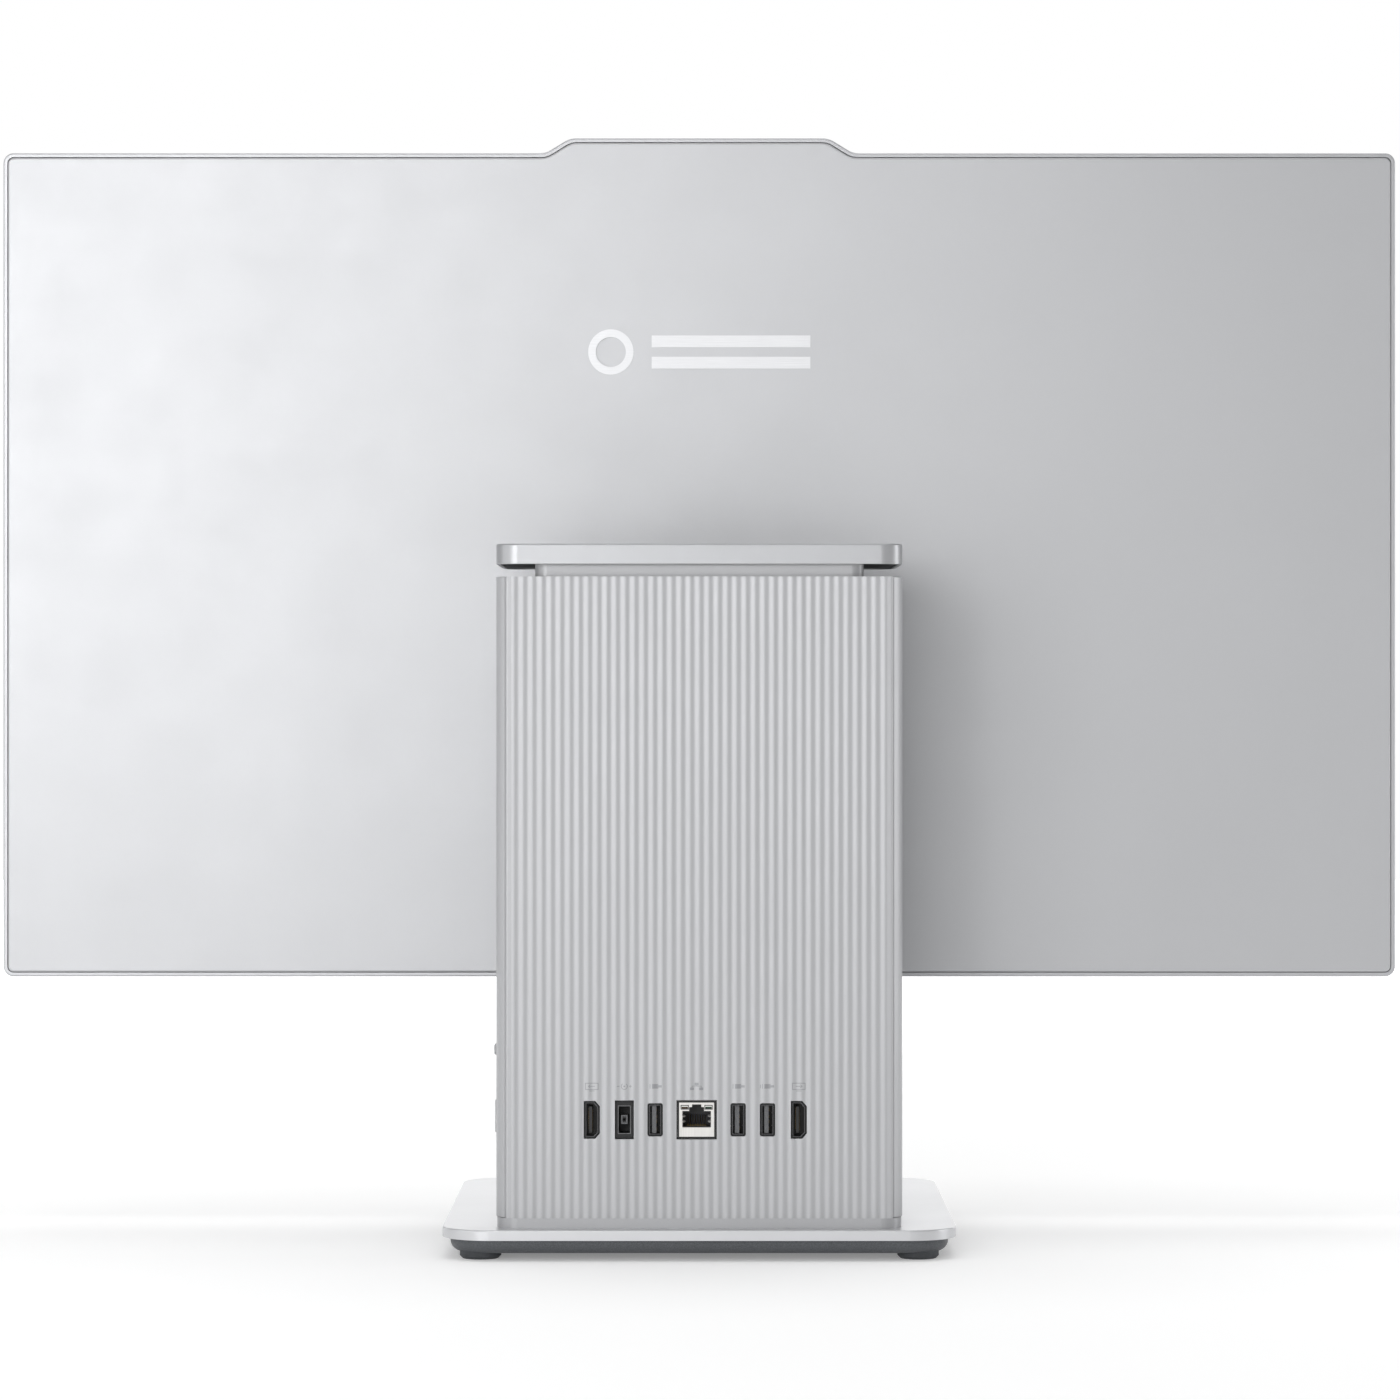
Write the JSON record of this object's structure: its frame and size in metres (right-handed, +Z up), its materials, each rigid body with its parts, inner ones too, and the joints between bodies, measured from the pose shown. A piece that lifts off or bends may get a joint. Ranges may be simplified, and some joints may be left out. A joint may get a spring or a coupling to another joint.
{
  "type": "all-in-one desktop computer",
  "caption": "Thin widescreen display tilting on a hinge in front of a ribbed upright tower case with a floating cap and rear ports, on a flat rounded base plate.",
  "frame": {"origin": "centre of the base's footprint, on the desk surface", "axes": "+Z up, the screen faces -Y, +Y towards the rear ports, +X to the user's right"},
  "size_m": [0.614, 0.22, 0.4784],
  "materials": {
    "base_metal": "bead-blasted silver",
    "tray_plastic": "fine texture, dark grey",
    "foot_rubber": "matt",
    "case_plastic": "satin silver paint",
    "rib_plastic": "satin silver paint",
    "cap_metal": "satin",
    "liner_plastic": "fine texture",
    "steel": "zinc plated",
    "sheet_steel": "galvanised",
    "die_cast": "painted dark grey",
    "circuit_board": "solder mask",
    "chip_black": "moulded",
    "nickel": "nickel plated",
    "copper": "bare copper",
    "fin_metal": "mill finish",
    "fan_plastic": "moulded",
    "port_metal": "nickel shell",
    "network_shield": "tinned shield",
    "port_black": "moulded",
    "light_pipe": "frosted",
    "key_plastic": "satin",
    "display_metal": "satin rim",
    "cover_paint": "satin silver paint",
    "emblem_metal": "polished",
    "screen_glass": "anti-glare coating",
    "diffuser": "white",
    "chin_plastic": "satin silver paint",
    "trim_plastic": "fine texture",
    "lens_glass": "coated",
    "friction_lining": "bronze"
  },
  "bodies": {
    "tower": {"audio_jack": "port_black", "base_plate": "base_metal", "base_screws": "steel", "base_tray": "tray_plastic", "cap_liner": "liner_plastic", "chassis": "sheet_steel", "clock_cell": "nickel", "cold_plate": "copper", "fan_housing": "fan_plastic", "fin_stack": "fin_metal", "friction_washers": "friction_lining", "heat_pipes": "copper", "hinge_casting": "die_cast", "hinge_cover": "case_plastic", "hinge_pins": "steel", "hinge_screws": "steel", "mainboard": "circuit_board", "mainboard_screws": "steel", "memory_modules": "circuit_board", "network_port": "network_shield", "plinth": "case_plastic", "power_inlet": "port_black", "processor": "nickel", "radio_card": "circuit_board", "rear_panel": "rib_plastic", "rubber_feet": "foot_rubber", "side_boards": "circuit_board", "solid_state_drive": "circuit_board", "status_light": "light_pipe", "top_cap": "cap_metal", "tower_deck": "case_plastic", "tower_shell": "case_plastic", "type_c_port_left": "port_metal", "type_c_port_right": "port_metal", "usb_port_1": "port_metal", "usb_port_2": "port_metal", "usb_port_3": "port_metal", "video_in_port": "port_metal", "video_out_port": "port_metal"},
    "display": {"display_frame": "display_metal", "rear_cover": "cover_paint", "emblem": "emblem_metal", "screen_panel": "screen_glass", "backlight": "diffuser", "panel_tray": "sheet_steel", "chin_cover": "chin_plastic", "front_trim": "trim_plastic", "camera_board": "circuit_board", "camera_lens": "lens_glass", "speaker_left": "chip_black", "speaker_right": "chip_black", "driver_board": "circuit_board", "display_brace": "sheet_steel", "tilt_bracket": "die_cast", "tilt_screws": "steel"},
    "shutter": {"camera_shutter": "trim_plastic"},
    "button": {"power_button": "key_plastic"},
    "rocker": {"brightness_rocker": "key_plastic"},
    "rotor": {"fan_rotor": "fan_plastic"}
  },
  "joints": [
    {"name": "display_tilt", "type": "hinge", "parent": "tower", "child": "display", "pos_m": [0, -0.022, 0.25], "axis": [-1, 0, 0], "range_deg": [-5, 20]},
    {"name": "shutter_slide", "type": "slide", "parent": "display", "child": "shutter", "axis": [-1, 0, 0], "range_m": [0, 0.0085]},
    {"name": "power_button_press", "type": "slide", "parent": "tower", "child": "button", "axis": [-1, 0, 0], "range_m": [0, 0.0008], "stiffness_N_per_m": 600},
    {"name": "brightness_rock", "type": "hinge", "parent": "tower", "child": "rocker", "pos_m": [0.0796, 0.087, 0.058], "axis": [0, 1, 0], "range_deg": [-3, 3], "stiffness_Nm_per_rad": 0.05},
    {"name": "fan_spin", "type": "hinge", "parent": "tower", "child": "rotor", "pos_m": [0, 0.062, 0.194], "axis": [0, 1, 0], "continuous": true}
  ]
}
